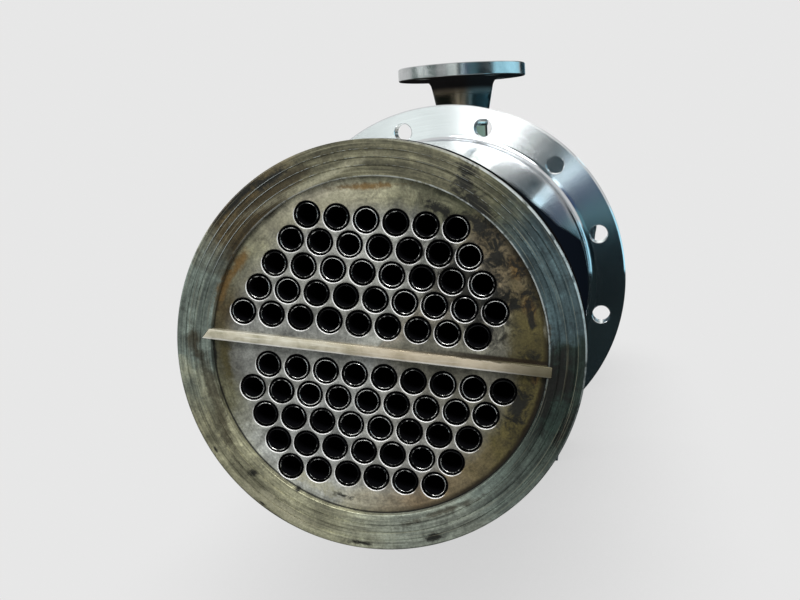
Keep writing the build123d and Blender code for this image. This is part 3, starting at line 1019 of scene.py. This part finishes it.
def tube_shape(centre):
    """One hollow tube with a rounded and slightly uneven mouth."""
    inner = TUBE_RADIUS - TUBE_WALL
    rim = TUBE_RIM_RADIUS
    seat = recess_depth + TUBE_SEAT
    lobes = random.choice((2, 3, 4, 5))
    phase = random.uniform(0, 2 * pi)
    place = at_tube(centre)

    def uneven(radius, angle, depth):
        swell = TUBE_RIM_SWELL * sin(lobes * angle + phase) if depth < recess_depth + TUBE_RIM_LENGTH else 0
        return place(radius + swell, angle, depth + swell)

    profile = arc((inner - TUBE_MOUTH_BURR + rim, seat + rim), rim, 180, 360, 6)
    profile += [
        (TUBE_RADIUS, seat + TUBE_SHOULDER),
        (TUBE_RADIUS, recess_depth + TUBE_OUTER_STATION),
        (TUBE_RADIUS, tube_end_depth),
        (inner, tube_end_depth),
    ]
    profile += [(inner, recess_depth + station) for station in TUBE_INNER_STATIONS]
    return lathe(profile, TUBE_STEPS, uneven)


def make_tubes():
    """The tubes of each row as one piece."""
    for number, row in enumerate(tube_rows, 1):
        piece = make_piece(f"tubes_of_row_{number}", joined(tube_shape(centre) for centre in row))
        dress(piece, tube_steel, "tube_steel", f"tube_row_{number}")


# Shell, flange, head and welds

def bored(centre, radius, start, end, place):
    """Closed cutter for a bolt hole with both edges chamfered, about a centre in the plate's plane."""
    out = CUTTER_OVERREACH
    reach = radius + HOLE_CHAMFER + out
    profile = [(0.0, start - out), (reach, start - out), (radius, start + HOLE_CHAMFER),
               (radius, end - HOLE_CHAMFER), (reach, end + out), (0.0, end + out)]

    def shifted(local_radius, angle, depth):
        across = centre[0] + local_radius * cos(angle)
        up = centre[1] + local_radius * sin(angle)
        return place(hypot(across, up), atan2(up, across), depth)

    return lathe(profile, HOLE_STEPS, shifted, closed=False)


def hole_ring(circle_radius, count, radius, start, end, place):
    """Cutters for bolt holes evenly round a circle, none of them on the upright centre line."""
    centres = arc((0.0, 0.0), circle_radius, 90 + 180 / count, 450 + 180 / count, count)[:-1]
    return joined(bored(centre, radius, start, end, place) for centre in centres)


def make_front_shell():
    """Smooth length of shell between the tube plate and the flange."""
    profile = [(shell_bore_radius, plate_thickness), (shell_radius, plate_thickness),
               (shell_radius, flange_depth), (shell_radius, flange_back), (shell_bore_radius, flange_back)]
    piece = make_piece("front_barrel", lathe(profile, SHELL_STEPS, at_shell))
    dress(piece, front_steel, "shell_steel", "front_shell")


def make_flange():
    """Ring flange with bevelled rim and chamfered bolt holes."""
    bevel = FLANGE_CHAMFER
    profile = [
        (shell_radius, flange_depth),
        (flange_radius - bevel, flange_depth),
        (flange_radius, flange_depth + bevel),
        (flange_radius, flange_back - bevel),
        (flange_radius - bevel, flange_back),
        (shell_radius, flange_back),
    ]
    piece = make_piece("bolted_flange", lathe(profile, SHELL_STEPS, at_shell))
    bolt_radius = shell_radius + FLANGE_BOLT_INSET
    faces = (flange_depth, flange_back)
    carve(piece, hole_ring(bolt_radius, FLANGE_HOLE_COUNT, FLANGE_HOLE_RADIUS, *faces, at_shell))
    dress(piece, flange_steel, "flange_steel", "shell_flange")


def make_flange_fillet():
    """Hollow polished fillet between the shell and the front of the flange."""
    size = FLANGE_WELD_SIZE
    sunk_radius = shell_radius - BEAD_LAP
    sunk_depth = flange_depth + BEAD_LAP
    profile = [(sunk_radius, sunk_depth), (sunk_radius, flange_depth - size)]
    profile += arc((shell_radius + size, flange_depth - size), size, 180, 90, 10)
    profile.append((shell_radius + size, sunk_depth))
    piece = make_piece("flange_fillet", lathe(profile, SHELL_STEPS, at_shell))
    dress(piece, shell_steel, "shell_steel", "flange_weld")


def bead_outline(corner, first, second, bulge):
    """Closed outline of a fillet bead in a corner, between a foot on each leg."""
    corner, first, second = Vector(corner), Vector(first), Vector(second)
    out = ((first + second) / 2 - corner).normalized() * bulge
    crown = [first.lerp(second, step) + out * sin(pi * step) for step in (0.25, 0.5, 0.75)]
    return [corner, first, *crown, second]


def make_plate_weld():
    """Bead behind the tube plate."""
    sunk_radius = shell_radius - PLATE_BEAD_LAP
    sunk_depth = plate_thickness - PLATE_BEAD_LAP
    first = (shell_radius + PLATE_WELD_SIZE, sunk_depth)
    second = (sunk_radius, plate_thickness + PLATE_WELD_SIZE)
    outline = bead_outline((sunk_radius, sunk_depth), first, second, PLATE_BEAD_BULGE)
    place = rippled(at_shell, *PLATE_BEAD_RIPPLES)
    piece = make_piece("plate_bead", lathe(outline, SHELL_STEPS * 2, place))
    dress(piece, weld_steel, "weld_steel", "plate_weld")


def make_seam(name, radius, middle, width, height, steps, place, sink=0.0):
    """Low butt weld bead round a pipe, its foot in the pipe and its crown perhaps sunk a little too."""
    outline = [(radius - BEAD_LAP, middle - width / 2), (radius - BEAD_LAP, middle + width / 2)]
    for step in range(BEAD_STEPS + 1):
        share = 1 - step / BEAD_STEPS
        outline.append((radius - sink + height * sin(pi * share), middle + width * (share - 0.5)))
    dress(make_piece(name, lathe(outline, steps, place), 60), weld_steel, "weld_steel")


def make_main_shell():
    """Rear length of shell with its two nozzle openings."""
    profile = [(shell_bore_radius, flange_back), (shell_radius, flange_back),
               (shell_radius, main_shell_end), (shell_bore_radius, main_shell_end)]
    piece = make_piece("main_barrel", lathe(profile, SHELL_STEPS, at_shell))
    column = [(0.0, OPENING_START), (neck_radius, OPENING_START), (neck_radius, neck_top), (0.0, neck_top)]
    carve(piece, joined(lathe(column, NOZZLE_STEPS, place, closed=False) for _, place in nozzles))
    dress(piece, shell_steel, "shell_steel", "main_shell")


def head_outline(inset):
    """Skirt, knuckle and crown of the dished end as (radius, depth) points, from the seam to the nose."""
    crown_radius = 2 * shell_radius * HEAD_CROWN_RATIO
    knuckle_radius = 2 * shell_radius * HEAD_KNUCKLE_RATIO
    knuckle_centre = shell_radius - knuckle_radius
    crown_centre = -sqrt((crown_radius - knuckle_radius) ** 2 - knuckle_centre**2)
    tangent = degrees(acos(knuckle_centre / (crown_radius - knuckle_radius)))
    base = main_shell_end + HEAD_STRAIGHT
    points = [(shell_radius - inset, main_shell_end)]
    points += arc((knuckle_centre, base), knuckle_radius - inset, 0, tangent, HEAD_STEPS)
    points += arc((0.0, base + crown_centre), crown_radius - inset, tangent, 90, HEAD_STEPS * 2)[1:]
    return points


def make_rear_head():
    """Hollow dished end with a thin wall."""
    outline = head_outline(0.0) + head_outline(SHELL_WALL)[::-1]
    piece = make_piece("dished_end", lathe(outline, SHELL_STEPS, at_shell))
    dress(piece, shell_steel, "shell_steel", "rear_head")


# Nozzles

def nozzle_place(name, up):
    """Placing function about a nozzle's axis; heights are from the shell's axis, upwards or downwards."""
    low, high = node_box(name + "_nozzle_flange")
    return upright(0.0, (low.y + high.y) / 2 - front_y, axis_z, up)


nozzles = (("top", nozzle_place("top", 1)), ("bottom", nozzle_place("bottom", -1)))


def nozzle_flange_profile():
    """Outline of the hub, its fillet, the flange and the raised face, from the neck to the bore."""
    face_radius = NOZZLE_BORE_RADIUS + NOZZLE_FACE_WIDTH
    slope = atan2(HUB_LENGTH, HUB_RISE)
    setback = HUB_FILLET * tan(slope / 2)
    fillet_foot = (hub_radius - setback * cos(slope), hub_top - setback * sin(slope))
    fillet_centre = (hub_radius + setback, hub_top - HUB_FILLET)
    start = degrees(atan2(fillet_foot[1] - fillet_centre[1], fillet_foot[0] - fillet_centre[0])) % 360
    return [
        (NOZZLE_BORE_RADIUS, neck_top),
        (neck_radius, neck_top),
        *arc(fillet_centre, HUB_FILLET, start, 90, 10),
        (nozzle_flange_radius - NOZZLE_CHAMFER, hub_top),
        (nozzle_flange_radius, hub_top + NOZZLE_CHAMFER),
        (nozzle_flange_radius, nozzle_flange_top - NOZZLE_CHAMFER),
        (nozzle_flange_radius - NOZZLE_CHAMFER, nozzle_flange_top),
        (face_radius + FACE_CHAMFER, nozzle_flange_top),
        (face_radius, nozzle_flange_top + FACE_CHAMFER),
        (face_radius, nozzle_reach - FACE_CHAMFER),
        (face_radius - FACE_CHAMFER, nozzle_reach),
        (NOZZLE_BORE_RADIUS + BORE_CHAMFER, nozzle_reach),
        (NOZZLE_BORE_RADIUS, nozzle_reach - BORE_CHAMFER),
    ]


def make_nozzle(name, place):
    """Neck, welding-neck flange and weld beads of one nozzle."""
    piece = make_piece(name + "_flange", lathe(nozzle_flange_profile(), NOZZLE_STEPS, place))
    faces = (hub_top, nozzle_flange_top)
    carve(piece, hole_ring(nozzle_bolt_radius, NOZZLE_HOLE_COUNT, NOZZLE_HOLE_RADIUS, *faces, place))
    dress(piece, nozzle_steel, "nozzle_steel", name + "_nozzle_flange")
    root = sqrt(shell_bore_radius**2 - NOZZLE_BORE_RADIUS**2)
    pipe = [(NOZZLE_BORE_RADIUS, root), (neck_radius, root),
            (neck_radius, neck_top), (NOZZLE_BORE_RADIUS, neck_top)]
    piece = make_piece(name + "_neck", lathe(pipe, NOZZLE_STEPS, place))
    dress(piece, nozzle_steel, "nozzle_steel", name + "_nozzle_neck")
    make_neck_bead(name + "_neck_bead", place)
    make_seam(name + "_hub_bead", neck_radius, neck_top, HUB_SEAM_WIDTH, HUB_SEAM_HEIGHT,
              NOZZLE_STEPS * 2, rippled(place, *HUB_SEAM_RIPPLES), HUB_SEAM_SINK)


def make_neck_bead(name, place):
    """Fillet bead that follows the saddle-shaped line between a neck and the shell."""
    ripples, ripple_height = NECK_BEAD_RIPPLES
    rings = []
    for angle in round_angles(NOZZLE_STEPS * 2):
        leg = NECK_BEAD + ripple_height * sin(ripples * angle)
        outer = neck_radius + leg
        foot = sqrt(shell_radius**2 - (outer * cos(angle)) ** 2)
        root = sqrt(shell_radius**2 - (neck_radius * cos(angle)) ** 2)
        outline = [
            (neck_radius - BEAD_LAP, root - 2),
            (outer, foot - BEAD_LAP),
            (outer - 0.2 * leg, foot + 0.34 * leg),
            (neck_radius + 0.34 * leg, root + 0.8 * leg),
            (neck_radius - 0.2, root + leg),
        ]
        rings.append([place(radius, angle, height) for radius, height in outline])
    dress(make_piece(name, skinned(rings), 70), weld_steel, "weld_steel")


# Saddles

def seat_arc(radius, start, end):
    """Arc about the shell's axis, in heights above the floor."""
    return arc((0.0, axis_z), radius, start, end, SEAT_STEPS)


def saddle_prisms(name, start, end, half_foot, foot_top):
    """Outlines and depths of the prisms that make a saddle's wear plate, web and ribs."""
    web_front = (start + end - WEB_THICKNESS) / 2
    web_back = web_front + WEB_THICKNESS
    seat = shell_radius + WEAR_PLATE_THICKNESS
    first, last = 270 - SADDLE_WRAP / 2, 270 + SADDLE_WRAP / 2
    wear = seat_arc(shell_radius, first, last) + seat_arc(seat, last, first)
    web = [(-half_foot, foot_top), (half_foot, foot_top)] + seat_arc(seat, last, first)
    outer = node_box(name + "_ribs")[1].x
    inner = outer - RIB_THICKNESS
    top = [(x, axis_z - sqrt(seat**2 - x * x)) for x in (outer, (inner + outer) / 2, inner)]
    ribs = []
    for side in (-1, 1):
        rib = [(side * x, z) for x, z in [(inner, foot_top), (outer, foot_top)] + top]
        ribs += [(rib, start, web_front), (rib, web_back, end)]
    return {"_wear_plate": [(wear, start, end)], "_web": [(web, web_front, web_back)], "_ribs": ribs}


def make_saddle(name):
    """Wear plate, web, ribs and foot of one saddle."""
    low, high = node_box(name + "_foot")
    start = low.y - front_y
    end = high.y - front_y
    half_foot = high.x
    foot_top = high.z
    for part, prisms in saddle_prisms(name, start, end, half_foot, foot_top).items():
        piece = make_piece(name + part + "_sheet", joined(extruded(*prism) for prism in prisms))
        round_edges(piece, SHEET_ROUNDING)
        dress(piece, saddle_steel, "saddle_steel", name + part)
    foot = [(-half_foot, 0.0), (half_foot, 0.0), (half_foot, foot_top), (-half_foot, foot_top)]
    piece = make_piece(name + "_foot_plate", extruded(foot, start, end))
    holes = []
    for x in (-half_foot + FOOT_BOLT_EDGE, half_foot - FOOT_BOLT_EDGE):
        for depth in (start + FOOT_BOLT_EDGE, end - FOOT_BOLT_EDGE):
            holes.append(bored((0.0, 0.0), FOOT_HOLE_RADIUS, 0.0, foot_top, upright(x, depth)))
    carve(piece, joined(holes))
    round_edges(piece, SHEET_ROUNDING)
    dress(piece, saddle_steel, "saddle_steel", name + "_foot")


make_tube_plate()
make_partition()
make_tubes()
make_front_shell()
make_flange()
make_flange_fillet()
make_plate_weld()
make_main_shell()
make_rear_head()
for nozzle in nozzles:
    make_nozzle(*nozzle)
make_seam("head_seam", shell_radius, main_shell_end, SEAM_WIDTH, SEAM_HEIGHT, SHELL_STEPS * 2,
          rippled(at_shell, *SEAM_RIPPLES))
make_saddle("front_saddle")
make_saddle("rear_saddle")
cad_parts["rear_tube_plate"].data.materials.clear()
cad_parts["rear_tube_plate"].data.materials.append(plate_steel)


# Floor, lights and camera

CAMERA_OFFSET = (184.19, -845.87, 159.20)
CAMERA_YAW = 10.846
CAMERA_PITCH = -7.956
CAMERA_ROLL = -3.232
CAMERA_LENS = 50.32
BACKGROUND = (0.80, 0.80, 0.80)
WORLD_LIGHT = 0.6
FLOOR_RINGS = (0.0, 500.0, 1500.0, 4000.0, 40000.0)
SHADOW_REACH = 0.36
SHADOW_DEPTH = 0.34

# Fans of coloured wedges before and behind the object, which the polished shell reflects
FRONT_FAN = (-0.53, -3.9, -0.18)
REAR_FAN = (-0.75, 3.9, -0.37)
FAN_START = 0.25
FAN_REACH = 4.8


def card(corner, across, up):
    """Corners of a card, from one of them and two sides in metres."""
    corner, across, up = Vector(corner), Vector(across), Vector(up)
    return [corner, corner + across, corner + across + up, corner + up]


def wedge(fan, first, last):
    """Corners of one wedge of a fan, between two clock angles."""
    corners = []
    for clock_angle, reach in ((first, FAN_START), (first, FAN_REACH), (last, FAN_REACH), (last, FAN_START)):
        turn = radians(clock_angle)
        corners.append(Vector(fan) + reach * Vector((cos(turn), 0.0, sin(turn))))
    return corners


# Corners and colour of each shape that the steel reflects
REFLECTORS = {
    "dark_front": (card((-5, -4, -3), (10, 0, 0), (0, 0, 3.7)), (0.012, 0.024, 0.034)),
    "front_black": (wedge(FRONT_FAN, -8, 17), (0.002, 0.005, 0.008)),
    "front_teal": (wedge(FRONT_FAN, 17, 26.5), (0.13, 0.28, 0.33)),
    "front_lilac": (wedge(FRONT_FAN, 26.5, 37.5), (0.05, 0.08, 0.17)),
    "front_window": (wedge(FRONT_FAN, 37.5, 42), (1.9, 2.3, 2.5)),
    "front_dim": (wedge(FRONT_FAN, 42, 48), (0.02, 0.05, 0.06)),
    "front_grey": (wedge(FRONT_FAN, 48, 54), (0.035, 0.05, 0.06)),
    "front_pale": (wedge(FRONT_FAN, 54, 63), (0.10, 0.125, 0.12)),
    "front_bright": (wedge(FRONT_FAN, 63, 79), (1.4, 1.45, 1.4)),
    "front_high": (wedge(FRONT_FAN, 79, 128), (1.05, 1.12, 1.10)),
    "rear_black": (wedge(REAR_FAN, -30, 19), (0.001, 0.002, 0.004)),
    "rear_teal": (wedge(REAR_FAN, 19, 28), (0.015, 0.05, 0.07)),
    "rear_lilac": (wedge(REAR_FAN, 28, 37.5), (0.03, 0.06, 0.10)),
    "rear_window": (wedge(REAR_FAN, 37.5, 41.5), (1.1, 1.6, 1.8)),
    "rear_dim": (wedge(REAR_FAN, 41.5, 48), (0.03, 0.05, 0.06)),
    "rear_grey": (wedge(REAR_FAN, 48, 54), (0.07, 0.09, 0.10)),
    "rear_pale": (wedge(REAR_FAN, 54, 59), (0.24, 0.27, 0.26)),
    "rear_bright": (wedge(REAR_FAN, 59, 110), (1.5, 1.55, 1.48)),
    "dark_right": (card((3.3, -4.2, -3), (0, 3.4, 0), (0, 0, 4.2)), (0.012, 0.026, 0.034)),
    "dim_left": (card((-3, -4, -3), (0, 4, 0), (0, 0, 4.2)), (0.16, 0.21, 0.20)),
    "dark_ground": (card((-8, -8, -0.02), (16, 0, 0), (0, 16, 0)), (0.014, 0.022, 0.024)),
    "blue_right": (card((3, -1.5, -0.5), (0, 4.2, 0), (0, 0, 1.8)), (0.65, 1.20, 1.45)),
    "dark_rear": (card((-4, 4, -3), (8, 0, 0), (0, 0, 3.42)), (0.012, 0.022, 0.028)),
}


def make_camera():
    """Camera at the photograph's viewing angle."""
    camera = make_object("camera", bpy.data.cameras.new("camera"))
    camera.data.sensor_fit = "HORIZONTAL"
    camera.data.sensor_width = 36.0
    camera.data.lens = CAMERA_LENS
    camera.data.clip_start = 0.01
    camera.data.clip_end = 200.0
    turn = (Matrix.Rotation(radians(CAMERA_YAW), 4, "Z")
            @ Matrix.Rotation(radians(90 + CAMERA_PITCH), 4, "X")
            @ Matrix.Rotation(radians(CAMERA_ROLL), 4, "Z"))
    place = Vector((0, front_y, axis_z)) + Vector(CAMERA_OFFSET)
    camera.matrix_world = Matrix.Translation(place * MM) @ turn
    bpy.context.scene.camera = camera


def make_world():
    """Pale surroundings for the eye and for reflections, dimmer for the light they give."""
    world = bpy.data.worlds.new("studio")
    bpy.context.scene.world = world
    world.use_nodes = True
    tree = world.node_tree
    shown = tree.nodes["Background"]
    lit = tree.nodes.new("ShaderNodeBackground")
    for background, strength in ((shown, 1.0), (lit, WORLD_LIGHT)):
        background.inputs["Color"].default_value = (*BACKGROUND, 1.0)
        background.inputs["Strength"].default_value = strength
    path = tree.nodes.new("ShaderNodeLightPath")
    seen = path.outputs["Is Camera Ray"]
    for ray in ("Is Glossy Ray", "Is Transmission Ray"):
        both = tree.nodes.new("ShaderNodeMath")
        both.operation = "MAXIMUM"
        tree.links.new(seen, both.inputs[0])
        tree.links.new(path.outputs[ray], both.inputs[1])
        seen = both.outputs[0]
    blend = tree.nodes.new("ShaderNodeMixShader")
    for socket, output in zip(blend.inputs, (seen, lit.outputs[0], shown.outputs[0])):
        tree.links.new(output, socket)
    tree.links.new(blend.outputs[0], tree.nodes["World Output"].inputs["Surface"])


def glow(name, colour):
    """Material that only glows, and its emission node."""
    material = bpy.data.materials.new(name)
    material.use_nodes = True
    tree = material.node_tree
    emission = tree.nodes.new("ShaderNodeEmission")
    emission.inputs["Color"].default_value = (*colour, 1.0)
    tree.links.new(emission.outputs[0], tree.nodes["Material Output"].inputs["Surface"])
    return material, emission


def make_floor():
    """Pale floor as light as the backdrop, darker only where the object shades it closely."""
    profile = [(radius, 0.0) for radius in FLOOR_RINGS]
    floor = make_piece("floor", lathe(profile, FLOOR_STEPS, upright(0.0, -front_y), closed=False))
    material, emission = glow("pale_floor", BACKGROUND)
    tree = material.node_tree
    shade = tree.nodes.new("ShaderNodeAmbientOcclusion")
    shade.samples = 16
    shade.inputs["Distance"].default_value = SHADOW_REACH
    level = tree.nodes.new("ShaderNodeMapRange")
    level.inputs["From Min"].default_value = 0.2
    level.inputs["From Max"].default_value = 0.8
    level.inputs["To Min"].default_value = 1.0 - SHADOW_DEPTH
    tree.links.new(shade.outputs["AO"], level.inputs["Value"])
    tree.links.new(level.outputs[0], emission.inputs["Strength"])
    floor.data.materials.append(material)
    floor.visible_glossy = False
    floor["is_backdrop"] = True


def make_lamp(name, place, target, size, power):
    """Soft rectangular lamp at a place, turned to a target, both in metres."""
    data = bpy.data.lights.new(name, "AREA")
    data.shape = "RECTANGLE"
    data.size, data.size_y = size
    data.energy = power
    aim = Vector(target) - Vector(place)
    lamp = make_object(name, data)
    lamp.matrix_world = Matrix.Translation(place) @ aim.to_track_quat("-Z", "Y").to_matrix().to_4x4()


def make_reflector(name, corners, colour):
    """Flat coloured shape that only shows in reflections, from its corners in metres."""
    mesh = bpy.data.meshes.new(name)
    mesh.from_pydata(corners, [], [(0, 1, 2, 3)])
    mesh.materials.append(glow(name, colour)[0])
    piece = make_object(name, mesh)
    piece.visible_camera = False
    piece.visible_diffuse = False
    piece.visible_transmission = False
    piece.visible_shadow = False
    piece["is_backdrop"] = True


make_camera()
make_world()
make_floor()
make_lamp("key", (0.5, -2.6, 2.3), (0, -0.3, 0.3), (1.4, 1.0), 75)
make_lamp("side", (-2.4, -1.2, 1.6), (0, -0.3, 0.3), (1.2, 1.6), 25)
for name, (corners, colour) in REFLECTORS.items():
    make_reflector(name, corners, colour)
bpy.context.scene.view_settings.view_transform = "Standard"

boxes = {"cad": cad_bounds, "visual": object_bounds()}
{name: [list(corner) for corner in box] for name, box in boxes.items()}
